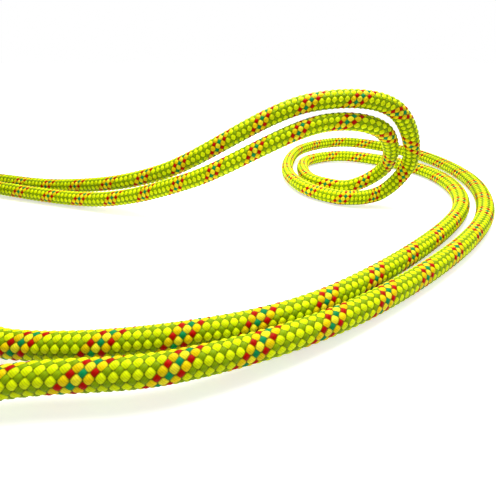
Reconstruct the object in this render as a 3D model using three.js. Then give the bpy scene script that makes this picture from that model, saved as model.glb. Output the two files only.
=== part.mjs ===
// A dynamic climbing rope: a braided sheath over seven core strands, with a fused tip and a blank sleeve on
// each end. It lies double, in a loop and an arch, and the rest of its length is put away in a coil.
// Millimetres, +Z up, floor at z = 0, +Y away from the photograph's camera.
import * as THREE from "three";

// ---------- driving dimensions ----------
const ROPE_DIAMETER = 9.8;
const ROPE_RADIUS = ROPE_DIAMETER / 2;
const GAP = 0.3; // between pieces that touch

const SHEATH_SIDES = 8;
const SHEATH_WALL = 0.95;
const CORE_STRANDS_ROUND = 6;
const CORE_STRAND_SIDES = 4;

const STEP_LENGTH = 37; // longest step of a tube
const STEP_BEND = THREE.MathUtils.degToRad(34); // largest bend in one step

const SLEEVE_LENGTH = 30;
const SLEEVE_CLEARANCE = 0.4;
const SLEEVE_WALL = 0.6;
const SLEEVE_EDGE = 0.25;
const SLEEVE_OUTER_RADIUS = ROPE_RADIUS + SLEEVE_CLEARANCE + SLEEVE_WALL;
const SLEEVE_PAST_ROPE = 7; // how far the sleeve reaches past the rope's cut end
const TIP_NOSE = 3; // how far the fused tip stands out of the sleeve
const ROUND_SIDES = 16;

const COILED_LENGTH = 27720;
const COIL_COLUMNS = 6; // turns side by side
const COIL_ROWS = 7; // turns on top of each other
const COLUMN_GAP = 0.5;
const ROW_GAP = 0.1;
const COLUMN_PITCH = ROPE_DIAMETER + COLUMN_GAP;
const ROW_PITCH = ROPE_DIAMETER + ROW_GAP;
const COIL_START_ANGLE = 110; // degrees, where the rope runs onto the coil
const STEPS_PER_TURN = 24;
const COIL_SIDES = 6;
const MOVE_ANGLE = 60; // degrees in which a turn moves over to its next place
const MOVE_UP_AT = 240; // degrees into the turn
const MOVE_IN_AT = 180;
const MOVE_DOWN_AT = 120;
const TAIL_STOPS_SHORT = 170; // degrees of the last turn that aren't wound
const TAIL_ANGLE = 110; // degrees in which the tail is drawn in
const TAIL_DRAWN_IN = 32;
const TAIL_LIFT = SLEEVE_OUTER_RADIUS - ROPE_RADIUS; // the tail's sleeve lies on the floor
const STRAIGHT_BEFORE_COIL = 15;
const CORE_CORNER = 5; // cut-off corners of the plain ring inside the coil

// The inner turns, which show only as a plain ring, lose about a turn of rope where they change direction.
const TURNS = COIL_COLUMNS * COIL_ROWS - 1 - TAIL_STOPS_SHORT / 360;
const COIL_MEAN_RADIUS = COILED_LENGTH / (2 * Math.PI * TURNS);
const COIL_RIM_RADIUS = COIL_MEAN_RADIUS + ((COIL_COLUMNS - 1) / 2) * COLUMN_PITCH + ROPE_RADIUS;

// The rim stays clear of the free end's sleeve and of the bight: lines that touch it beside them cross here.
const COIL_CORNER = new THREE.Vector2(-104.5, 198);
const CENTRE_FROM_CORNER = new THREE.Vector2(-1.224, -0.584); // for each mm of the rim's radius
const COIL_CENTRE = COIL_CORNER.clone().addScaledVector(CENTRE_FROM_CORNER, COIL_RIM_RADIUS);

// The hand-chosen route of the laid-out rope, from its free end to the coil.
const ROUTE = [
  // the free end, the inner strand's arch and its loop
  [-219, 254, 5.95], [-193, 245, 5.95], [-94, 212.5, 7.5], [-33.5, 196.5, 25], [42, 197.5, 56.5], [77, 207, 50.5],
  [92, 233, 22.5], [73, 242, 6.5], [49, 261.5, 5], [53.5, 317, 5], [90, 333.5, 5.5], [139, 300, 5], [150, 259, 5],
  // the inner strand in front, and the bight at its left
  [131.5, 202, 5], [33, 110.7, 5.5], [-20.5, 86.5, 8], [-76, 83.5, 7], [-116, 99, 5], [-133, 82.5, 5],
  [-121.5, 59.5, 5],
  // the outer strand in front, its turn at the right and its loop
  [-64, 67.5, 9], [-19, 73, 9], [48, 107, 5.5], [139.5, 190.5, 5], [171.5, 271, 5], [159, 344, 6],
  [102.5, 373.5, 10], [53, 347, 9], [33, 291, 5.5], [41, 243, 5], [62, 222.5, 5],
  // the outer strand's arch, and on towards the coil
  [87, 219.5, 9.5], [100.5, 217, 30.5], [81.5, 206, 62], [33.5, 199.5, 66.5], [-53.5, 208.5, 26], [-132, 241, 7],
  [-250, 272, 5.5],
];

const COLOURS = {
  sheath: 0x9fc400,
  core: 0xf2f0e6,
  sleeve: 0x26282a,
  tip: 0x6f8a12,
};

// ---------- the free rope's route ----------
const UP = new THREE.Vector3(0, 0, 1);

// A smooth curve through the route's points, held up by the floor. Its steps are closer together in bends.
class RopeRoute extends THREE.CatmullRomCurve3 {
  constructor(points) {
    super(points, false, "centripetal");
    this.table = [{ t: 0, effort: 0 }];
    const samples = 60 * points.length;
    let before = this.getPoint(0);
    let heading = this.getTangent(0);
    for (let i = 1; i <= samples; i += 1) {
      const t = i / samples;
      const here = this.getPoint(t);
      const ahead = this.getTangent(t);
      const steps = Math.hypot(here.distanceTo(before) / STEP_LENGTH, heading.angleTo(ahead) / STEP_BEND);
      this.table.push({ t, effort: this.table[i - 1].effort + steps });
      before = here;
      heading = ahead;
    }
    this.steps = Math.ceil(this.table[samples].effort);
  }

  getPoint(t, target = new THREE.Vector3()) {
    super.getPoint(t, target);
    target.z = Math.max(target.z, ROPE_RADIUS);
    return target;
  }

  getUtoTmapping(u) {
    const wanted = u * this.table[this.table.length - 1].effort;
    let i = 1;
    while (i < this.table.length - 1 && this.table[i].effort < wanted) i += 1;
    const [low, high] = [this.table[i - 1], this.table[i]];
    return THREE.MathUtils.mapLinear(wanted, low.effort, high.effort, low.t, high.t);
  }
}

// ---------- the coil's line ----------
function coilPlaces() {
  const places = [];
  for (let row = 0; row < COIL_ROWS; row += 1) places.push({ column: COIL_COLUMNS - 1, row });
  for (let column = COIL_COLUMNS - 2; column >= 0; column -= 1) places.push({ column, row: COIL_ROWS - 1 });
  for (let row = COIL_ROWS - 2; row >= 0; row -= 1) places.push({ column: 0, row });
  return places;
}

// Moves start earlier at each corner of the pile, so that a turn never meets the one that it follows.
function moveStart(from, to) {
  if (to.row > from.row) return MOVE_UP_AT;
  return to.row < from.row ? MOVE_DOWN_AT : MOVE_IN_AT;
}

const columnRadius = (column) => COIL_MEAN_RADIUS + (column - (COIL_COLUMNS - 1) / 2) * COLUMN_PITCH;

function coilPoint(degrees, radius, height) {
  const angle = THREE.MathUtils.degToRad(COIL_START_ANGLE + degrees);
  return new THREE.Vector3(
    COIL_CENTRE.x + radius * Math.cos(angle), COIL_CENTRE.y + radius * Math.sin(angle), height);
}

// The outer layer of turns: up the outside of the pile, over its top and down the inside, one unbroken line.
function coilLine() {
  const places = coilPlaces();
  const end = 360 * places.length - TAIL_STOPS_SHORT;
  const line = [];
  for (let degrees = 0; degrees <= end; degrees += 360 / STEPS_PER_TURN) {
    const turn = Math.floor(degrees / 360);
    const from = places[turn];
    const to = places[Math.min(turn + 1, places.length - 1)];
    const share = THREE.MathUtils.smoothstep((degrees % 360 - moveStart(from, to)) / MOVE_ANGLE, 0, 1);
    const column = THREE.MathUtils.lerp(from.column, to.column, share);
    const row = THREE.MathUtils.lerp(from.row, to.row, share);
    const tail = THREE.MathUtils.smoothstep(degrees, end - TAIL_ANGLE, end);
    const radius = columnRadius(column) - TAIL_DRAWN_IN * tail;
    line.push(coilPoint(degrees, radius, ROPE_RADIUS + row * ROW_PITCH + TAIL_LIFT * tail));
  }
  const onto = new THREE.Vector3().crossVectors(UP, coilPoint(0, 1, 0).sub(coilPoint(0, 0, 0)));
  const off = line[line.length - 1].clone().sub(line[line.length - 2]).setZ(0).normalize();
  const straightEnd = SLEEVE_LENGTH - SLEEVE_PAST_ROPE + ROPE_RADIUS;
  line.unshift(line[0].clone().addScaledVector(onto, -ROPE_DIAMETER));
  line.push(line[line.length - 1].clone().addScaledVector(off, straightEnd));
  return line;
}

// ---------- shapes ----------
function polygon(radius, sides, x = 0, y = 0) {
  const corners = [];
  for (let i = 0; i < sides; i += 1) {
    const angle = ((i + 0.5) * 2 * Math.PI) / sides;
    corners.push(new THREE.Vector2(x + radius * Math.cos(angle), y + radius * Math.sin(angle)));
  }
  return corners;
}

function alongRoute(route, section, hole) {
  const shape = new THREE.Shape(section);
  if (hole) shape.holes.push(new THREE.Path(hole));
  return new THREE.ExtrudeGeometry(shape, { steps: route.steps, extrudePath: route });
}

// One closed tube through a line of points, with flat ends.
function woundTube(line, radius, sides) {
  const positions = [];
  const triangles = [];
  line.forEach((point, i) => {
    const ahead = line[Math.min(i + 1, line.length - 1)].clone().sub(line[Math.max(i - 1, 0)]).normalize();
    const side = new THREE.Vector3().crossVectors(ahead, UP).normalize();
    const top = new THREE.Vector3().crossVectors(side, ahead);
    for (let k = 0; k < sides; k += 1) {
      const angle = (k * 2 * Math.PI) / sides;
      const corner = point.clone().addScaledVector(side, radius * Math.cos(angle));
      positions.push(...corner.addScaledVector(top, radius * Math.sin(angle)));
    }
  });
  const last = (line.length - 1) * sides;
  for (let i = 0; i < last; i += sides) {
    for (let k = 0; k < sides; k += 1) {
      const next = (k + 1) % sides;
      triangles.push(i + k, i + sides + k, i + next, i + next, i + sides + k, i + sides + next);
    }
  }
  for (let k = 1; k < sides - 1; k += 1) triangles.push(0, k, k + 1, last, last + k + 1, last + k);
  const geometry = new THREE.BufferGeometry();
  geometry.setAttribute("position", new THREE.Float32BufferAttribute(positions, 3));
  geometry.setIndex(triangles);
  geometry.computeVertexNormals();
  return geometry;
}

// The least gap between a wound tube's corners and those of its other turns.
function leastGap(geometry, sides) {
  const corners = geometry.getAttribute("position");
  const apart = (STEPS_PER_TURN / 2) * sides;
  const a = new THREE.Vector3();
  const b = new THREE.Vector3();
  let least = Infinity;
  for (let i = 0; i < corners.count; i += 1) {
    a.fromBufferAttribute(corners, i);
    for (let j = i + apart; j < corners.count; j += 1) {
      least = Math.min(least, a.distanceTo(b.fromBufferAttribute(corners, j)));
    }
  }
  return least;
}

// The plain ring of the turns that lie inside the outer layer.
function innerTurns() {
  const clearance = ROPE_RADIUS + GAP;
  const inner = columnRadius(0) + clearance;
  const outer = columnRadius(COIL_COLUMNS - 1) - clearance;
  const top = ROPE_RADIUS + (COIL_ROWS - 1) * ROW_PITCH - clearance;
  const profile = [
    [inner, 0], [outer, 0], [outer, top - CORE_CORNER], [outer - CORE_CORNER, top], [inner + CORE_CORNER, top],
    [inner, top - CORE_CORNER], [inner, 0],
  ].map(([x, y]) => new THREE.Vector2(x, y));
  const firstCorner = THREE.MathUtils.degToRad(COIL_START_ANGLE + 90);
  const ring = new THREE.LatheGeometry(profile, STEPS_PER_TURN, firstCorner);
  ring.rotateX(Math.PI / 2);
  return ring.translate(COIL_CENTRE.x, COIL_CENTRE.y, 0);
}

// A turned piece on a rope's end: its profile runs outwards along the rope from the cut face at `end`.
function onRopeEnd(profile, end, outwards) {
  const outline = profile.map(([radius, along]) => new THREE.Vector2(radius, along));
  const piece = new THREE.LatheGeometry(outline, ROUND_SIDES);
  piece.applyQuaternion(new THREE.Quaternion().setFromUnitVectors(new THREE.Vector3(0, 1, 0), outwards));
  return piece.translate(end.x, end.y, end.z);
}

function endSleeve(end, outwards) {
  const front = SLEEVE_PAST_ROPE;
  const back = front - SLEEVE_LENGTH;
  const full = SLEEVE_OUTER_RADIUS;
  const bore = full - SLEEVE_WALL;
  return onRopeEnd([
    [bore, back], [full - SLEEVE_EDGE, back], [full, back + SLEEVE_EDGE], [full, front - SLEEVE_EDGE],
    [full - SLEEVE_EDGE, front], [bore, front], [bore, back],
  ], end, outwards);
}

function fusedTip(end, outwards) {
  const front = SLEEVE_PAST_ROPE + TIP_NOSE;
  const shoulder = front - 0.6 * TIP_NOSE;
  const brow = front - 0.2 * TIP_NOSE;
  return onRopeEnd([
    [0, GAP], [ROPE_RADIUS, GAP], [ROPE_RADIUS, shoulder], [0.8 * ROPE_RADIUS, brow], [0.4 * ROPE_RADIUS, front],
    [0, front],
  ], end, outwards);
}

// ---------- the pieces ----------
const group = new THREE.Group();
group.name = "climbing_rope";

function add(name, geometry, colour, roughness) {
  const material = new THREE.MeshStandardMaterial({ name, color: colour, roughness, metalness: 0 });
  const mesh = new THREE.Mesh(geometry, material);
  mesh.name = name;
  group.add(mesh);
}

const wound = coilLine();
const coilStart = wound[0];
const ontoCoil = wound[1].clone().sub(coilStart).normalize();
const routeEnd = coilStart.clone().addScaledVector(ontoCoil, -GAP);
const routePoints = ROUTE.map((point) => new THREE.Vector3(...point));
routePoints.push(routeEnd.clone().addScaledVector(ontoCoil, -STRAIGHT_BEFORE_COIL), routeEnd);
const route = new RopeRoute(routePoints);

const boreRadius = ROPE_RADIUS - SHEATH_WALL;
const sheath = alongRoute(route, polygon(ROPE_RADIUS, SHEATH_SIDES), polygon(boreRadius, SHEATH_SIDES));
add("sheath_free_run", sheath, COLOURS.sheath, 0.75);

// One strand in the middle and the others round it fill the sheath's bore up to the gaps between them.
const boreFlat = boreRadius * Math.cos(Math.PI / SHEATH_SIDES);
const strandRadius = (boreFlat - 2 * GAP) / 3;
const pitchRadius = 2 * strandRadius + GAP;
add("core_strand_centre", alongRoute(route, polygon(strandRadius, CORE_STRAND_SIDES)), COLOURS.core, 0.8);
for (let i = 0; i < CORE_STRANDS_ROUND; i += 1) {
  const angle = (i * 2 * Math.PI) / CORE_STRANDS_ROUND;
  const x = pitchRadius * Math.cos(angle);
  const y = pitchRadius * Math.sin(angle);
  const section = polygon(strandRadius, CORE_STRAND_SIDES, x, y);
  add(`core_strand_${i + 1}`, alongRoute(route, section), COLOURS.core, 0.8);
}

const coil = woundTube(wound, ROPE_RADIUS, COIL_SIDES);
add("coil_outer_turns", coil, COLOURS.sheath, 0.75);
add("coil_inner_turns", innerTurns(), COLOURS.sheath, 0.75);

const ropeEnds = {
  free: [route.getPoint(0), route.getPointAt(1 / route.steps).sub(route.getPoint(0)).normalize().negate()],
  coil: [wound[wound.length - 1], wound[wound.length - 1].clone().sub(wound[wound.length - 2]).normalize()],
};
for (const [where, [end, outwards]] of Object.entries(ropeEnds)) {
  add(`end_sleeve_${where}`, endSleeve(end, outwards), COLOURS.sleeve, 0.45);
  add(`fused_tip_${where}`, fusedTip(end, outwards), COLOURS.tip, 0.35);
}

// ---------- the origin: the middle of the box that everything fits in, on the floor ----------
const middle = new THREE.Box3().setFromObject(group).getCenter(new THREE.Vector3());
for (const mesh of group.children) mesh.geometry.translate(-middle.x, -middle.y, 0);

const freeLength = route.getLength();
const ropeLength = freeLength + COILED_LENGTH;
console.log(`free rope ${freeLength.toFixed(0)} mm in ${route.steps} steps, in all ${ropeLength.toFixed(0)} mm`);
console.log(`least gap between the coil's turns ${leastGap(coil, COIL_SIDES).toFixed(2)} mm`);
const restPoint = coilPoint(180 / STEPS_PER_TURN, COIL_MEAN_RADIUS, 0).sub(middle.setZ(0));
console.log(`the coil rests at ${restPoint.x.toFixed(2)}, ${restPoint.y.toFixed(2)}, 0`);

export default group;
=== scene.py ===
"""A dynamic climbing rope, laid double in a loop and an arch, with the rest of its length in a coil.

Lengths are in metres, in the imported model's frame: +Z up, +X to the photograph's right and +Y away from
its camera.
"""

import math

import bpy
import numpy as np
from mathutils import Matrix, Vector


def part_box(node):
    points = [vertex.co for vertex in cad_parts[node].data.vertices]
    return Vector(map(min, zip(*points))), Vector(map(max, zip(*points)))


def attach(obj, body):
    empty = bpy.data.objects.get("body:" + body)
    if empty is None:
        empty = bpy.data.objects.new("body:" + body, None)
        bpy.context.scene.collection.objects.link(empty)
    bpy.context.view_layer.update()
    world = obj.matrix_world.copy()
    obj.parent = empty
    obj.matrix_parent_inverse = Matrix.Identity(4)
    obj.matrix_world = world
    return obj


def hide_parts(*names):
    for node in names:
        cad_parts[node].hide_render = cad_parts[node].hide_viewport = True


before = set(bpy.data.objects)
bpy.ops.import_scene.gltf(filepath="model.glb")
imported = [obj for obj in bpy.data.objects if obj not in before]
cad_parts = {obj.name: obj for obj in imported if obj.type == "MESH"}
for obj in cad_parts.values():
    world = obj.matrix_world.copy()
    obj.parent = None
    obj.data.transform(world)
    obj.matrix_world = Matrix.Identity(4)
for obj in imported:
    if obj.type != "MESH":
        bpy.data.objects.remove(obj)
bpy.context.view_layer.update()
scene = bpy.context.scene

# ---------------------------------------------------------------------------------------------------------
# The coil's place. The long unseen length of the rope lies in a round coil, and the route below was chosen
# with its own origin, straight under the camera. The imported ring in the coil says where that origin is.
# ---------------------------------------------------------------------------------------------------------
ROPE_DIAMETER = 0.0098
ROPE_RADIUS = ROPE_DIAMETER / 2

COILED_LENGTH = 27.72
COIL_COLUMNS = 6
COIL_ROWS = 7
COLUMN_PITCH = ROPE_DIAMETER + 0.0005
ROW_PITCH = ROPE_DIAMETER + 0.0001
TAIL_STOPS_SHORT = 170
COIL_TURNS = COIL_COLUMNS * COIL_ROWS - 1 - TAIL_STOPS_SHORT / 360
COIL_MEAN_RADIUS = COILED_LENGTH / (2 * math.pi * COIL_TURNS)
COIL_RIM_RADIUS = COIL_MEAN_RADIUS + (COIL_COLUMNS - 1) / 2 * COLUMN_PITCH + ROPE_RADIUS
# The rim stays clear of the free end's sleeve and of the bight. Lines that touch it beside them cross here,
# seen from the route's origin.
COIL_CORNER = Vector((-0.1045, 0.198, 0))
CENTRE_FROM_CORNER = Vector((-1.224, -0.584, 0))  # for each metre of the rim's radius

ring_low, ring_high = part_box("coil_inner_turns")
coil_centre = (ring_low + ring_high) / 2
coil_centre.z = 0
route_origin = coil_centre - (COIL_CORNER + CENTRE_FROM_CORNER * COIL_RIM_RADIUS)

# ---------------------------------------------------------------------------------------------------------
# The camera. It stands low over the near strands and looks down on the loops through a short lens, which
# makes the strands in front more than twice as thick in the picture as those behind.
# ---------------------------------------------------------------------------------------------------------
CAMERA_HEIGHT = 0.0872
CAMERA_DOWN = math.radians(28.5)
CAMERA_LENS = 25.4  # mm, on a sensor 36 mm wide


def put_in_scene(name, data):
    """A new object in the scene, of this mesh, lamp or camera."""
    thing = bpy.data.objects.new(name, data)
    scene.collection.objects.link(thing)
    return thing


camera = put_in_scene("camera", bpy.data.cameras.new("camera"))
camera.data.lens = CAMERA_LENS
camera.data.sensor_width = 36
camera.data.clip_start = 0.005
camera.location = route_origin + Vector((0, 0, CAMERA_HEIGHT))
camera.rotation_euler = (math.pi / 2 - CAMERA_DOWN, 0, 0)
scene.camera = camera

# ---------------------------------------------------------------------------------------------------------
# The laid-out rope. Its sheath is braided from sixteen bundles of polyamide yarn, eight wound each way, one
# over and one under. Three neighbouring bundles of one hand are dyed red, teal and red, as a tracer.
# ---------------------------------------------------------------------------------------------------------
# The middle of the rope, in mm from the route's origin. Its points are chosen one by one.
ROUTE_MM = [
    # the free end, the inner strand's arch and its loop
    (-219, 254, 5.95), (-193, 245, 5.95), (-94, 212.5, 7.5), (-33.5, 196.5, 25), (42, 197.5, 56.5),
    (77, 207, 50.5), (92, 233, 22.5), (73, 242, 6.5), (49, 261.5, 5), (53.5, 317, 5), (90, 333.5, 5.5),
    (139, 300, 5), (150, 259, 5),
    # the inner strand in front, and the bight at its left
    (131.5, 202, 5), (33, 110.7, 5.5), (-20.5, 86.5, 8), (-76, 83.5, 7), (-116, 99, 5), (-133, 82.5, 5),
    (-121.5, 59.5, 5),
    # the outer strand in front, its turn at the right and its loop
    (-64, 67.5, 9), (-19, 73, 9), (48, 107, 5.5), (139.5, 190.5, 5), (171.5, 271, 5), (159, 344, 6),
    (102.5, 373.5, 10), (53, 347, 9), (33, 291, 5.5), (41, 243, 5), (62, 222.5, 5),
    # the outer strand's arch, and on towards the coil
    (87, 219.5, 9.5), (100.5, 217, 30.5), (81.5, 206, 62), (33.5, 199.5, 66.5), (-53.5, 208.5, 26),
    (-132, 241, 7), (-250, 272, 5.5),
]
STRAIGHT_BEFORE_COIL = 0.015
GAP = 0.0003  # between this part of the rope and the coil
COIL_START_ANGLE = 110

BUNDLES_EACH_WAY = 8
PICK = 0.0034  # along the rope, from one bundle to the next of the same hand
SHEATH_RELIEF = 0.0007  # from the top of a bundle to the bottom of the gaps
WIDE_HALF = (0.58, 0.66)  # half a bundle on top of another, across and along it, in bundles
NARROW_HALF = (0.44, 0.60)
NARROW_TOP = 0.90  # the other hand's bundles are drawn in tighter and lie lower
STEPS_PER_PICK = 8
ROUND_STEPS = 64

# Where the tracer faces the camera: mm along the rope, picks so far, and bundles by which the braid is
# turned. Between these places both change evenly, as they do in a rope that is laid out by hand.
BRAID_SEEN = [
    (0, -5, 0.5), (166, 47, 0.5), (211, 63, 0.4), (289, 87, 0.1), (322, 95, 0.1), (354, 103, 0.6),
    (737, 212, -0.3), (852, 244, -0.1), (924, 268, 0.3), (1105, 322, -0.1), (1155, 338, -0.4),
    (1184, 346, -0.6), (1240, 362, -0.5), (1299, 378, -0.8), (1737, 498, 0.4), (1760, 506, 0.4),
    (1779, 514, 0.3), (1822, 529, -0.1), (1875, 545, 0.4), (1954, 569, 0.4), (2008, 585, 0.2),
    (2070, 601, 0.2), (2272, 660, 0.2),
]


def coil_point(degrees, radius, height):
    """A point of the coil, as far round it from the coil's start as the degrees say."""
    angle = math.radians(COIL_START_ANGLE + degrees)
    return coil_centre + Vector((radius * math.cos(angle), radius * math.sin(angle), height))


def smooth_line(points, steps=60):
    """A centripetal Catmull-Rom line through the points, as an array of many points."""
    held = np.array([2 * points[0] - points[1], *points, 2 * points[-1] - points[-2]])
    share = (np.arange(steps) / steps)[:, None]
    line = []
    for before, start, end, after in zip(held, held[1:], held[2:], held[3:]):
        spans = (start - before, end - start, after - end)
        d0, d1, d2 = (math.sqrt(np.linalg.norm(span)) for span in spans)
        leave = ((start - before) / d0 - (end - before) / (d0 + d1) + (end - start) / d1) * d1
        reach = ((end - start) / d1 - (after - start) / (d1 + d2) + (after - end) / d2) * d1
        cubic = 2 * (start - end) + leave + reach
        square = 3 * (end - start) - 2 * leave - reach
        line.append(start + share * (leave + share * (square + share * cubic)))
    return np.vstack([*line, points[-1]])


def evenly(line, spacing):
    """The same line with points at an even spacing, and their distances along it."""
    along = np.append(0, np.cumsum(np.linalg.norm(np.diff(line, axis=0), axis=1)))
    wanted = np.linspace(0, along[-1], round(along[-1] / spacing) + 1)
    return np.stack([np.interp(wanted, along, line[:, axis]) for axis in range(3)], axis=1), wanted


def sections(line):
    """Two directions across the line at each point, which turn as little as they can on the way."""
    ahead = np.gradient(line, axis=0)
    ahead /= np.linalg.norm(ahead, axis=1)[:, None]
    side = np.cross(ahead[0], (0, 0, 1))
    sides = []
    for direction in ahead:
        side = side - direction * side.dot(direction)
        side = side / np.linalg.norm(side)
        sides.append(side)
    sides = np.array(sides)
    return sides, np.cross(sides, ahead)


def crown(across, along, half):
    """The height of a bundle on top: round across, and diving under its neighbours at both ends."""
    rounded = np.sqrt(np.clip(1 - (across / half[0]) ** 2, 0, 1))
    return rounded * np.clip(1 - (along / half[1]) ** 2, 0, 1)


def braid_height(picks, bundles):
    """How far the braid stands up, 0 to 1, at these picks along and bundles round the rope."""
    narrow, wide = bundles - picks, bundles + picks
    narrow_on_top = (np.round(narrow) + np.round(wide)) % 2 == 0
    narrow, wide = abs(narrow - np.round(narrow)), abs(wide - np.round(wide))
    beside = np.maximum(crown(wide, 1 - narrow, WIDE_HALF), crown(1 - wide, narrow, WIDE_HALF))
    wide_top = np.where(narrow_on_top, beside, crown(wide, narrow, WIDE_HALF))
    narrow_top = np.where(narrow_on_top, NARROW_TOP * crown(narrow, wide, NARROW_HALF), 0)
    return np.maximum(wide_top, narrow_top)


def rope_mesh(name, line, picks, turned, round_steps, relief):
    """A tube along the line with the braid's relief, and a map of picks along and bundles round it."""
    sides, ups = sections(line)
    step = np.arange(round_steps)
    angle = 2 * math.pi * step / round_steps
    bundles = BUNDLES_EACH_WAY / round_steps * step[None] + turned[:, None]
    radius = ROPE_RADIUS - relief * (1 - braid_height(picks[:, None], bundles))
    across = np.cos(angle)[None, :, None] * sides[:, None] + np.sin(angle)[None, :, None] * ups[:, None]
    rings = line[:, None] + radius[..., None] * across
    rows = len(line)
    corner = np.arange(rows * round_steps).reshape(rows, round_steps)
    beside = np.roll(corner, -1, axis=1)
    quads = np.stack([corner[:-1], corner[1:], beside[1:], beside[:-1]], axis=-1).reshape(-1, 4)
    mesh = bpy.data.meshes.new(name)
    mesh.vertices.add(rows * round_steps)
    mesh.vertices.foreach_set("co", rings.ravel())
    mesh.loops.add(quads.size)
    mesh.loops.foreach_set("vertex_index", quads.ravel())
    mesh.polygons.add(len(quads))
    mesh.polygons.foreach_set("loop_start", np.arange(0, quads.size, 4))
    mesh.update(calc_edges=True)
    mesh.shade_smooth()
    first, second = (slice(None, -1), slice(1, None))
    order = (first, second, second, first)
    braid_map = np.empty((rows - 1, round_steps, 4, 2))
    braid_map[..., 0] = np.stack([picks[part] for part in order], axis=-1)[:, None]
    braid_map[..., 1] = np.stack([turned[part] for part in order], axis=-1)[:, None]
    steps_on = np.stack([step, step, step + 1, step + 1], axis=-1)
    braid_map[..., 1] += BUNDLES_EACH_WAY / round_steps * steps_on
    mesh.uv_layers.new(name="braid").uv.foreach_set("vector", braid_map.ravel())
    return put_in_scene(name, mesh)


onto_coil = coil_point(1, 1, 0) - coil_point(-1, 1, 0)
onto_coil.normalize()
coil_start = coil_point(0, COIL_RIM_RADIUS - ROPE_RADIUS, ROPE_RADIUS) - onto_coil * ROPE_DIAMETER
free_stop = coil_start - onto_coil * GAP
route = [route_origin + Vector(point) / 1000 for point in ROUTE_MM]
route += [free_stop - onto_coil * STRAIGHT_BEFORE_COIL, free_stop]
free_line, free_along = evenly(smooth_line(np.array(route)), PICK / STEPS_PER_PICK)
free_line[:, 2] = np.maximum(free_line[:, 2], ROPE_RADIUS)

seen_at, seen_picks, seen_turned = np.array(BRAID_SEEN).T
free_picks = np.interp(free_along * 1000, seen_at, seen_picks)
free_turned = np.interp(free_along * 1000, seen_at, seen_turned)
free_run = rope_mesh("sheath_braid_free_run", free_line, free_picks, free_turned,
                     round_steps=ROUND_STEPS, relief=SHEATH_RELIEF)

# The braid's yarns: one hand bright lime, the other green with the tracer's red, teal and red bundles.
TRACER_REDS = (0, 2)  # of each eight bundles of the green hand
TRACER_TEALS = (1,)
BRIGHT_LIME = (0.74, 0.88, 0.001, 1)
OVER_RED = (1.0, 0.40, 0.0, 1)  # a bright bundle's look where it crosses the tracer
OVER_TEAL = (0.90, 0.80, 0.02, 1)
DARK_LIME = (0.24, 0.37, 0.0, 1)
GAP_SHADE = (0.015, 0.045, 0.0, 1)
TRACER_RED = (0.46, 0.0, 0.0, 1)
TRACER_TEAL = (0.0, 0.25, 0.07, 1)
SHINE_TINT = (0.95, 1.0, 0.42, 1)
YARNS_PER_BUNDLE = 4
FIBRES_ACROSS = 9  # how much finer the fibres' noise is across a bundle than along it
FIBRE_SHIFT = 7.3  # between bundles, so that no two have the same fibres
COLOUR_EDGE = 0.3  # the difference in height over which one bundle's colour goes over into the next
DARKEST_YARN = 0.6  # of the colours above
BUNDLE_UNEVEN = 0.2  # how much lighter than that some bundles are
YARN_SHADE_AND_FIBRES = 0.5  # and how much lighter the middle of a yarn is than its edges: painted shade where yarns meet, with the fibres' random tone
GAP_BOTTOM, GAP_TOP = 0.1, 0.6  # heights between which the shade in the gaps fades out
YARN_RELIEF = 0.3  # of a bundle's height
OVER_RED_SHARE = 0.5  # how far a bright bundle takes on OVER_RED


class NodeBoard:
    """Adds nodes to a tree, with values or other nodes' sockets as their inputs."""

    def __init__(self, tree):
        self.tree = tree

    def add(self, kind, settings=None, inputs=None):
        node = self.tree.nodes.new(kind)
        for name, value in (settings or {}).items():
            setattr(node, name, value)
        for name, value in (inputs or {}).items():
            if isinstance(value, bpy.types.NodeSocket):
                self.tree.links.new(value, node.inputs[name])
            else:
                node.inputs[name].default_value = value
        return node

    def math(self, operation, *values):
        return self.add("ShaderNodeMath", {"operation": operation}, dict(enumerate(values))).outputs[0]

    def mix(self, share, one, other, blend="MIX"):
        settings = {"data_type": "RGBA", "blend_type": blend}
        return self.add("ShaderNodeMix", settings, {0: share, 6: one, 7: other}).outputs[2]

    def between(self, share, one, other):
        return self.add("ShaderNodeMix", None, {0: share, 2: one, 3: other}).outputs[0]

    def fade(self, value, start, stop):
        """0 below the start and 1 above the stop, with a soft run between them."""
        inputs = {"Value": value, "From Min": start, "From Max": stop}
        return self.add("ShaderNodeMapRange", {"interpolation_type": "SMOOTHSTEP"}, inputs).outputs[0]

    def bump(self, height, strength, distance):
        inputs = {"Height": height, "Strength": strength, "Distance": distance}
        return self.add("ShaderNodeBump", None, inputs).outputs[0]

    def group(self, tree, inputs):
        return self.add("ShaderNodeGroup", {"node_tree": tree}, inputs).outputs

    def link(self, socket, node, name):
        self.tree.links.new(socket, node.inputs[name])


def new_material(name):
    """A new material, a board for its nodes, and its Principled shader."""
    material = bpy.data.materials.new(name)
    material.use_nodes = True
    return material, NodeBoard(material.node_tree), material.node_tree.nodes["Principled BSDF"]


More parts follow.
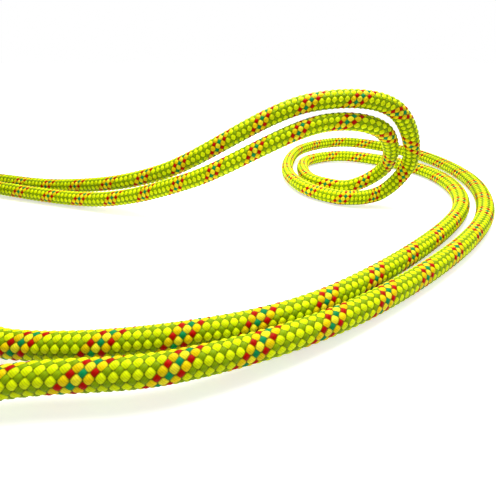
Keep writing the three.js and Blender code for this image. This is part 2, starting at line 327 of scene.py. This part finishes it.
def braid_group():
    """The braid as masks: its height, the hand on top, the tracer's bundles and the yarns in each."""
    tree = bpy.data.node_groups.new("sixteen-bundle braid", "ShaderNodeTree")
    tree.interface.new_socket("Yarns per Bundle", in_out="INPUT", socket_type="NodeSocketFloat")
    masks = ("Height", "Narrow", "Red", "Teal", "Shade", "Yarn")
    for name in masks:
        tree.interface.new_socket(name, in_out="OUTPUT", socket_type="NodeSocketFloat")
    board = NodeBoard(tree)
    given = board.add("NodeGroupInput").outputs
    rope_map = board.add("ShaderNodeUVMap", {"uv_map": "braid"}).outputs[0]
    place = board.add("ShaderNodeSeparateXYZ", None, {0: rope_map})
    narrow = board.math("SUBTRACT", place.outputs[1], place.outputs[0])
    wide = board.math("ADD", place.outputs[1], place.outputs[0])
    narrow_number = board.math("ROUND", narrow)
    wide_number = board.math("ROUND", wide)
    parity = board.math("FLOORED_MODULO", board.math("ADD", narrow_number, wide_number), 2)
    narrow_above = board.math("SUBTRACT", 1, parity)
    narrow_side = board.math("SUBTRACT", narrow, narrow_number)
    wide_side = board.math("SUBTRACT", wide, wide_number)
    from_narrow = board.math("ABSOLUTE", narrow_side)
    from_wide = board.math("ABSOLUTE", wide_side)

    def crown_of(across, along, half):
        shares = []
        for distance, reach in zip((across, along), half):
            share = board.math("DIVIDE", distance, reach)
            left = board.math("SUBTRACT", 1, board.math("MULTIPLY", share, share))
            shares.append(board.math("MAXIMUM", left, 0))
        return board.math("MULTIPLY", board.math("SQRT", shares[0]), shares[1])

    away_from_narrow = board.math("SUBTRACT", 1, from_narrow)
    away_from_wide = board.math("SUBTRACT", 1, from_wide)
    along_wide = board.between(narrow_above, from_narrow, away_from_narrow)
    beside = board.math("MULTIPLY", crown_of(away_from_wide, from_narrow, WIDE_HALF), narrow_above)
    wide_top = board.math("MAXIMUM", crown_of(from_wide, along_wide, WIDE_HALF), beside)
    narrow_top = board.math("MULTIPLY", crown_of(from_narrow, from_wide, NARROW_HALF), narrow_above)
    narrow_top = board.math("MULTIPLY", narrow_top, NARROW_TOP)
    shown = board.math("GREATER_THAN", narrow_top, wide_top)
    inside = board.fade(board.math("SUBTRACT", narrow_top, wide_top), 0, COLOUR_EDGE)

    bundle = board.math("FLOORED_MODULO", narrow_number, BUNDLES_EACH_WAY)

    def is_one_of(numbers):
        found = 0
        for number in numbers:
            found = board.math("ADD", found, board.math("COMPARE", bundle, number, 0.1))
        return found

    seed = board.add("ShaderNodeCombineXYZ", None, {0: narrow_number, 1: wide_number, 2: shown}).outputs[0]
    side = board.between(shown, wide_side, narrow_side)
    run = board.between(shown, narrow, wide)
    across = board.math("MULTIPLY_ADD", side, FIBRES_ACROSS, run)
    shift = board.math("MULTIPLY", narrow_number, FIBRE_SHIFT)
    fibre_place = board.add("ShaderNodeCombineXYZ", None, {0: across, 1: run, 2: shift}).outputs[0]
    noise = board.add("ShaderNodeTexNoise", None, {"Vector": fibre_place, "Scale": 1.0, "Detail": 3.0})
    fibres = board.math("MULTIPLY", noise.outputs[0], 0.5)
    turns = board.math("MULTIPLY_ADD", side, given["Yarns per Bundle"], fibres)
    ridge = board.math("ABSOLUTE", board.math("SINE", board.math("MULTIPLY", turns, math.pi)))
    ends = {
        "Height": board.math("MAXIMUM", wide_top, narrow_top),
        "Narrow": inside,
        "Red": is_one_of(TRACER_REDS),
        "Teal": is_one_of(TRACER_TEALS),
        "Shade": board.add("ShaderNodeTexWhiteNoise", None, {"Vector": seed}).outputs["Value"],
        "Yarn": board.math("MULTIPLY_ADD", ridge, 0.5, fibres),
    }
    end = board.add("NodeGroupOutput")
    for name in masks:
        board.link(ends[name], end, name)
    return tree


braid_pattern = braid_group()


def sheath_material(name, bump_strength, bump_height):
    """Braided polyamide: soft sheen, bundles and fibres of random tone, painted shade in the gaps and at
    yarn edges.
    """
    material, board, shader = new_material(name)
    braid = board.group(braid_pattern, {"Yarns per Bundle": YARNS_PER_BUNDLE})
    wide = board.mix(board.math("MULTIPLY", braid["Red"], OVER_RED_SHARE), BRIGHT_LIME, OVER_RED)
    wide = board.mix(braid["Teal"], wide, OVER_TEAL)
    narrow = board.mix(braid["Red"], DARK_LIME, TRACER_RED)
    narrow = board.mix(braid["Teal"], narrow, TRACER_TEAL)
    tone_and_yarn_shade = board.math("MULTIPLY_ADD", braid["Shade"], BUNDLE_UNEVEN, DARKEST_YARN)
    # Painted shade: each yarn is darker at its edges, where it meets the next, than in its middle; its
    # fibres vary in tone at random.
    tone_and_yarn_shade = board.math("MULTIPLY_ADD", braid["Yarn"], YARN_SHADE_AND_FIBRES, tone_and_yarn_shade)
    colour = board.mix(1.0, board.mix(braid["Narrow"], wide, narrow), tone_and_yarn_shade, "MULTIPLY")
    out_of_gap = board.fade(braid["Height"], GAP_BOTTOM, GAP_TOP)
    board.link(board.mix(out_of_gap, GAP_SHADE, colour), shader, "Base Color")
    raised = board.math("MULTIPLY_ADD", braid["Yarn"], YARN_RELIEF, braid["Height"])
    board.link(board.bump(raised, bump_strength, bump_height), shader, "Normal")
    shader.inputs["Roughness"].default_value = 0.55
    shader.inputs["Specular IOR Level"].default_value = 0.12
    shader.inputs["Specular Tint"].default_value = SHINE_TINT
    return material


free_run.data.materials.append(sheath_material("lime braid", bump_strength=0.5, bump_height=0.0003))
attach(free_run, "root")
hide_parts("sheath_free_run")

# ---------------------------------------------------------------------------------------------------------
# The coil. The rope winds up the outside of the pile, in over its top and down the inside, and then to and
# fro through the middle. The moves to the next place start earlier at each corner of the pile.
# ---------------------------------------------------------------------------------------------------------
MOVE_UP_AT = 240  # degrees into a turn, in the first column
OUTER_MOVE = 60  # degrees that a move takes
INNER_MOVE = 30
TAIL_ANGLE = 110  # degrees at the end, in which the tail leaves the pile for the coil's middle
TAIL_DRAWN_IN = 0.032
SLEEVE_LENGTH = 0.030
SLEEVE_PAST_ROPE = 0.007
SLEEVE_CLEARANCE = 0.0004
SLEEVE_WALL = 0.0006
SLEEVE_RADIUS = ROPE_RADIUS + SLEEVE_CLEARANCE + SLEEVE_WALL
COIL_STEPS = 96  # of each turn
COIL_ROUND_STEPS = 24


def coil_places():
    """The column and row of each turn of the pile, in the order in which the rope takes them."""
    top, last = COIL_ROWS - 1, COIL_COLUMNS - 1
    places = [(last, row) for row in range(top)]
    places += [(column, top) for column in range(last, 0, -1)]
    places += [(0, row) for row in range(top, 0, -1)]
    for column in range(1, last):
        rows = range(1, top) if column % 2 else range(top - 1, 0, -1)
        places += [(column, row) for row in rows]
    return places + [(column, 0) for column in range(last - 1, -1, -1)]


def coil_moves(places):
    """(start, length) of each move, in degrees along the coil."""
    moves = []
    start_in_turn = MOVE_UP_AT
    length = OUTER_MOVE
    heading = None
    for number, (here, there) in enumerate(zip(places, places[1:])):
        new_heading = (there[0] - here[0], there[1] - here[1])
        in_outer_layer = number < 2 * COIL_ROWS + COIL_COLUMNS - 4
        if heading is not None and new_heading != heading:
            length = OUTER_MOVE if in_outer_layer else INNER_MOVE
            start_in_turn -= length
        heading = new_heading
        moves.append((360 * number + start_in_turn, length))
    return moves


def eased(share):
    """The share held between 0 and 1, with a soft start and stop."""
    share = np.clip(share, 0, 1)
    return share * share * (3 - 2 * share)


def coil_line():
    """The middle of the coiled rope, from the laid-out part to its own cut end."""
    places = coil_places()
    moves = coil_moves(places)
    end = 360 * (len(places) - 1) - TAIL_STOPS_SHORT
    degrees = np.arange(0, end + 1e-6, 360 / COIL_STEPS)
    column = np.full(len(degrees), float(places[0][0]))
    row = np.full(len(degrees), float(places[0][1]))
    for (start, length), here, there in zip(moves, places, places[1:]):
        share = eased((degrees - start) / length)
        column += (there[0] - here[0]) * share
        row += (there[1] - here[1]) * share
    tail = eased((degrees - end + TAIL_ANGLE) / TAIL_ANGLE)
    radius = COIL_MEAN_RADIUS + (column - (COIL_COLUMNS - 1) / 2) * COLUMN_PITCH - TAIL_DRAWN_IN * tail
    height = ROPE_RADIUS + row * ROW_PITCH + (SLEEVE_RADIUS - ROPE_RADIUS) * tail
    wound = np.array([coil_point(*turned) for turned in zip(degrees, radius, height)])
    off = wound[-1] - wound[-2]
    off /= np.linalg.norm(off)
    straight_end = wound[-1] + off * (SLEEVE_LENGTH - SLEEVE_PAST_ROPE + ROPE_RADIUS)
    return np.vstack([coil_start, wound, straight_end])


wound_line, wound_along = evenly(coil_line(), 2 * math.pi * COIL_MEAN_RADIUS / COIL_STEPS)
wound_picks = free_picks[-1] + wound_along / PICK
wound_turned = np.full(len(wound_line), free_turned[-1])
coil = rope_mesh("sheath_braid_coil", wound_line, wound_picks, wound_turned,
                 round_steps=COIL_ROUND_STEPS, relief=0)
coiled_braid = sheath_material("lime braid, coiled", bump_strength=1.0, bump_height=SHEATH_RELIEF)
coil.data.materials.append(coiled_braid)
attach(coil, "root")
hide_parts("coil_outer_turns", "coil_inner_turns")

# ---------------------------------------------------------------------------------------------------------
# The end sleeves. A short tube of black polyolefin is shrunk with hot air over each end of the rope. It is
# blank, its edges are rounded, and the bundles under it show through as faint waves.
# ---------------------------------------------------------------------------------------------------------
BORE_CLEARANCE = 0.0003
SLEEVE_EDGE = 0.00025
SLEEVE_WAVES = 0.00018
SLEEVE_RINGS = 90
EDGE_RINGS = 5
END_ROUND_STEPS = 96
SLEEVE_BLACK = (0.016, 0.018, 0.020, 1)
SLEEVE_SCUFFED = (0.075, 0.078, 0.08, 1)
CLOUDS_PER_METRE = 260
SCUFFS_PER_METRE = (900, 2600, 900)
GRAINS_PER_METRE = 4200
SCUFFS_START, SCUFFS_FULL = 0.56, 0.72  # of the noise that they come from
SLEEVE_SCUFFED_SHARE = 0.55  # how far a scuff takes on the grey
SLEEVE_ROUGHNESS = 0.3
ROUGHER_IN_CLOUDS = 0.3
CLOUDS_OVER_GRAIN = 2  # how much higher the clouds are than the grain


def on_rope_end(name, along, radius, end, outwards, closed):
    """A round piece on a rope's end: rings at these distances past it, with a radius for each point.

    A closed one has a bore, and its last ring joins its first. Any other has a flat at each end.
    """
    side = np.cross(outwards, (0, 0, 1))
    side /= np.linalg.norm(side)
    up = np.cross(side, outwards)
    angle = 2 * math.pi * np.arange(END_ROUND_STEPS) / END_ROUND_STEPS
    spoke = np.cos(angle)[:, None] * side + np.sin(angle)[:, None] * up
    rings = end + along[:, None, None] * outwards + radius[..., None] * spoke
    rows = len(along)
    corner = np.arange(rows * END_ROUND_STEPS).reshape(rows, END_ROUND_STEPS)
    beside = np.roll(corner, -1, axis=1)
    if closed:
        corner, beside = np.vstack([corner, corner[:1]]), np.vstack([beside, beside[:1]])
    faces = np.stack([corner[:-1], corner[1:], beside[1:], beside[:-1]], axis=-1)
    faces = faces.reshape(-1, 4).tolist()
    if not closed:
        faces += [corner[0].tolist()[::-1], corner[-1].tolist()]
    mesh = bpy.data.meshes.new(name)
    mesh.from_pydata(rings.reshape(-1, 3).tolist(), [], faces)
    mesh.update(calc_edges=True)
    mesh.shade_smooth()
    return put_in_scene(name, mesh)


def sleeve(name, end, outwards):
    """The shrunk tube on an end of the rope, with waves where it lies over the bundles."""
    front = SLEEVE_PAST_ROPE
    back = front - SLEEVE_LENGTH
    turn = np.linspace(0, math.pi / 2, EDGE_RINGS)
    lip = SLEEVE_EDGE * (1 - np.cos(turn))
    drop = SLEEVE_EDGE * (1 - np.sin(turn))
    middle = np.linspace(back + SLEEVE_EDGE, front - SLEEVE_EDGE, SLEEVE_RINGS)
    outer = np.concatenate([back + lip, middle[1:-1], front - lip[::-1]])
    dropped = np.concatenate([drop, np.zeros(SLEEVE_RINGS - 2), drop[::-1]])
    bundles = BUNDLES_EACH_WAY * np.arange(END_ROUND_STEPS) / END_ROUND_STEPS
    over_rope = np.clip(-outer / ROPE_RADIUS, 0, 1)
    waves = SLEEVE_WAVES * over_rope[:, None] * (1 - braid_height(outer[:, None] / PICK, bundles[None]))
    outer_radius = SLEEVE_RADIUS - dropped[:, None] - waves
    bore = np.full((2, END_ROUND_STEPS), ROPE_RADIUS + BORE_CLEARANCE)
    along = np.append(outer, [front, back])
    return on_rope_end(name, along, np.vstack([outer_radius, bore]), end, outwards, closed=True)


def mottle_group():
    """Cloudy unevenness and fine scuffs, from where a place is on the object."""
    tree = bpy.data.node_groups.new("clouds and scuffs", "ShaderNodeTree")
    tree.interface.new_socket("Scuffed", in_out="INPUT", socket_type="NodeSocketFloat")
    for name in ("Clouds", "Scuffs", "Grain"):
        tree.interface.new_socket(name, in_out="OUTPUT", socket_type="NodeSocketFloat")
    board = NodeBoard(tree)
    given = board.add("NodeGroupInput").outputs
    place = board.add("ShaderNodeTexCoord").outputs["Object"]
    stretch = {0: place, 1: SCUFFS_PER_METRE}
    stretched = board.add("ShaderNodeVectorMath", {"operation": "MULTIPLY"}, stretch).outputs[0]

    def noise(where, scale, detail):
        inputs = {"Vector": where, "Scale": scale, "Detail": detail}
        return board.add("ShaderNodeTexNoise", None, inputs).outputs[0]

    scuffs = board.fade(noise(stretched, scale=1.0, detail=5.0), SCUFFS_START, SCUFFS_FULL)
    end = board.add("NodeGroupOutput")
    board.link(noise(place, CLOUDS_PER_METRE, detail=3.0), end, "Clouds")
    board.link(board.math("MULTIPLY", scuffs, given["Scuffed"]), end, "Scuffs")
    board.link(noise(place, GRAINS_PER_METRE, detail=2.0), end, "Grain")
    return tree


mottle = mottle_group()


def sleeve_material():
    """Satin black shrink tube, greyer where it is scuffed."""
    material, board, shader = new_material("shrunk sleeve")
    marks = board.group(mottle, {"Scuffed": SLEEVE_SCUFFED_SHARE})
    board.link(board.mix(marks["Scuffs"], SLEEVE_BLACK, SLEEVE_SCUFFED), shader, "Base Color")
    rough = board.math("MULTIPLY_ADD", marks["Clouds"], ROUGHER_IN_CLOUDS, SLEEVE_ROUGHNESS)
    board.link(rough, shader, "Roughness")
    raised = board.math("MULTIPLY_ADD", marks["Clouds"], CLOUDS_OVER_GRAIN, marks["Grain"])
    board.link(board.bump(raised, strength=0.25, distance=0.00008), shader, "Normal")
    shader.inputs["Specular IOR Level"].default_value = 0.45
    return material


shrunk_sleeve = sleeve_material()
free_outwards = free_line[0] - free_line[1]
free_outwards /= np.linalg.norm(free_outwards)
coil_outwards = wound_line[-1] - wound_line[-2]
coil_outwards /= np.linalg.norm(coil_outwards)
rope_ends = {"free": (free_line[0], free_outwards), "coil": (wound_line[-1], coil_outwards)}
for which, (end, outwards) in rope_ends.items():
    piece = sleeve(f"shrunk_sleeve_{which}", end, outwards)
    piece.data.materials.append(shrunk_sleeve)
    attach(piece, "root")
    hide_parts(f"end_sleeve_{which}")

# ---------------------------------------------------------------------------------------------------------
# The fused tips. The cut end of sheath and core is melted with a hot knife into one hard lump, which keeps
# the yarns together. It is uneven, darker than the yarn, and glossy where it ran.
# ---------------------------------------------------------------------------------------------------------
TIP_NOSE = 0.003
TIP_NOSE_SHARE = 0.4  # of the rope's radius, at the very front
TIP_ROUNDNESS = 2.2
TIP_LUMPS = 0.00035
LUMPS_ROUND = (2, 3, 5, 7)  # waves of lumps in one turn
LUMPS_SLANT = 500  # at most, in radians for each metre along
TIP_RINGS = 28
MELTED_LIME = (0.30, 0.36, 0.02, 1)
MELTED_BROWN = (0.09, 0.07, 0.012, 1)
SWIRLS_START, SWIRLS_FULL = 0.4, 0.62  # of the clouds that they come from
MELTED_ROUGHNESS = 0.25
DULL_SPOTS = 0.4  # how much rougher they are


def fused_tip(name, end, outwards, seed):
    """The melted lump that closes an end of the rope, with a blunt nose out of the sleeve."""
    front = SLEEVE_PAST_ROPE + TIP_NOSE
    share = np.linspace(0, 1, TIP_RINGS)
    along = GAP + (front - GAP) * np.sin(share * math.pi / 2)
    past_shoulder = np.clip((along - front + TIP_NOSE) / TIP_NOSE, 0, 1)
    radius = ROPE_RADIUS * (1 - (1 - TIP_NOSE_SHARE) * past_shoulder ** TIP_ROUNDNESS)
    angle = 2 * math.pi * np.arange(END_ROUND_STEPS) / END_ROUND_STEPS
    lumps = np.zeros((TIP_RINGS, END_ROUND_STEPS))
    chance = np.random.default_rng(seed)
    for wave in LUMPS_ROUND:
        slant = chance.uniform(-LUMPS_SLANT, LUMPS_SLANT)
        start = chance.uniform(0, 2 * math.pi)
        lumps += np.sin(wave * angle[None] + slant * along[:, None] + start) / wave
    lumpy = radius[:, None] - TIP_LUMPS * (1 - lumps) / 2
    return on_rope_end(name, along, lumpy, end, outwards, closed=False)


def tip_material():
    """Melted and hardened yarn, lime and brown in swirls, glossy with a few dull spots."""
    material, board, shader = new_material("melted yarn")
    marks = board.group(mottle, {"Scuffed": DULL_SPOTS})
    swirl = board.fade(marks["Clouds"], SWIRLS_START, SWIRLS_FULL)
    board.link(board.mix(swirl, MELTED_LIME, MELTED_BROWN), shader, "Base Color")
    board.link(board.math("ADD", marks["Scuffs"], MELTED_ROUGHNESS), shader, "Roughness")
    board.link(board.bump(marks["Clouds"], strength=0.5, distance=0.0004), shader, "Normal")
    return material


melted_yarn = tip_material()
for seed, (which, (end, outwards)) in enumerate(rope_ends.items()):
    piece = fused_tip(f"melted_tip_{which}", end, outwards, seed)
    piece.data.materials.append(melted_yarn)
    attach(piece, "root")
    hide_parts(f"fused_tip_{which}")

# ---------------------------------------------------------------------------------------------------------
# The core strands. White polyamide yarn, twisted into strands, carries the load inside the sheath. They run
# the whole length and show only where the rope is cut.
# ---------------------------------------------------------------------------------------------------------
CORE_WHITE = (0.86, 0.85, 0.80, 1)
CORE_SHADE = (0.62, 0.60, 0.53, 1)
LOOSE_FIBRES = 0.5  # how high they stand, next to the grain


def core_material():
    """White twisted yarn, a little darker between its fibres."""
    material, board, shader = new_material("white core yarn")
    marks = board.group(mottle, {"Scuffed": LOOSE_FIBRES})
    board.link(board.mix(marks["Grain"], CORE_SHADE, CORE_WHITE), shader, "Base Color")
    fibres = board.math("ADD", marks["Scuffs"], marks["Grain"])
    board.link(board.bump(fibres, strength=0.6, distance=0.0001), shader, "Normal")
    shader.inputs["Roughness"].default_value = 0.7
    shader.inputs["Specular IOR Level"].default_value = 0.25
    return material


white_core_yarn = core_material()
for name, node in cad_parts.items():
    if name.startswith("core_strand"):
        node.data.materials.clear()
        node.data.materials.append(white_core_yarn)

# ---------------------------------------------------------------------------------------------------------
# The floor and the light. The floor is a white sweep without edges. Two soft lamps with grids hang over the
# loops and behind them, and the rest of the light comes evenly from all round.
# ---------------------------------------------------------------------------------------------------------
FLOOR_SIZE = 12
FLOOR_WHITE = (0.92, 0.92, 0.92, 1)
PURE_WHITE = (1, 1, 1, 1)
LOOPS_MIDDLE = route_origin + Vector((0, 0.2, 0))
OWN_WHITE_RISES = (0.35, 0.7)  # from and to these distances from that middle
OWN_WHITE_NEAR = 0.58  # where the floor has to keep the rope's shadow
AMBIENT = 0.4


def seen_directly(board):
    """1 for rays that come from the camera, or from a glossy or clear surface."""
    rays = board.add("ShaderNodeLightPath").outputs
    reflected = board.math("MAXIMUM", rays["Is Glossy Ray"], rays["Is Transmission Ray"])
    return board.math("MAXIMUM", rays["Is Camera Ray"], reflected)


def floor_material():
    """White sweep: lit near the rope, where it keeps its shadow, and white of itself further off."""
    material, board, shader = new_material("white sweep")
    board.tree.nodes.remove(shader)
    lit = board.add("ShaderNodeBsdfDiffuse", None, {"Color": FLOOR_WHITE}).outputs[0]
    ends = {0: board.add("ShaderNodeNewGeometry").outputs["Position"], 1: tuple(LOOPS_MIDDLE)}
    away = board.add("ShaderNodeVectorMath", {"operation": "DISTANCE"}, ends).outputs["Value"]
    near, far = OWN_WHITE_RISES
    ramp = {"Value": away, "From Min": near, "From Max": far, "To Min": OWN_WHITE_NEAR, "To Max": 1.0}
    own_white = board.add("ShaderNodeMapRange", None, ramp).outputs[0]
    glow = board.add("ShaderNodeEmission", None, {"Color": PURE_WHITE, "Strength": own_white}).outputs[0]
    both = board.add("ShaderNodeAddShader", None, {0: glow, 1: lit}).outputs[0]
    shown = board.add("ShaderNodeMixShader", None, {0: seen_directly(board), 1: lit, 2: both}).outputs[0]
    board.link(shown, board.tree.nodes["Material Output"], "Surface")
    return material


half = FLOOR_SIZE / 2
floor_corners = [(-half, -half, 0), (half, -half, 0), (half, half, 0), (-half, half, 0)]
floor_mesh = bpy.data.meshes.new("floor")
floor_mesh.from_pydata(floor_corners, [], [(0, 1, 2, 3)])
floor_mesh.materials.append(floor_material())
floor = put_in_scene("floor", floor_mesh)
floor.location.z = -0.0002  # clear of the rope's underside

world = bpy.data.worlds.new("studio")
world.use_nodes = True
scene.world = world
sky = NodeBoard(world.node_tree)
background = world.node_tree.nodes["Background"]
background.inputs["Color"].default_value = PURE_WHITE
strength = sky.math("MULTIPLY_ADD", seen_directly(sky), 1 - AMBIENT, AMBIENT)
sky.link(strength, background, "Strength")


def softbox(name, place, size, power, spread):
    """A square lamp that faces the middle of the loops, with a grid that narrows its light."""
    lamp = put_in_scene(name, bpy.data.lights.new(name, "AREA"))
    lamp.data.size = size
    lamp.data.energy = power
    lamp.data.spread = math.radians(spread)
    lamp.location = route_origin + Vector(place)
    facing = LOOPS_MIDDLE - lamp.location
    lamp.rotation_euler = facing.to_track_quat("-Z", "Y").to_euler()


softbox("key light", place=(0.03, 0.25, 0.37), size=0.25, power=0.72, spread=95)
softbox("back light", place=(0.05, 0.62, 0.32), size=0.3, power=0.37, spread=100)

scene.view_settings.view_transform = "Standard"
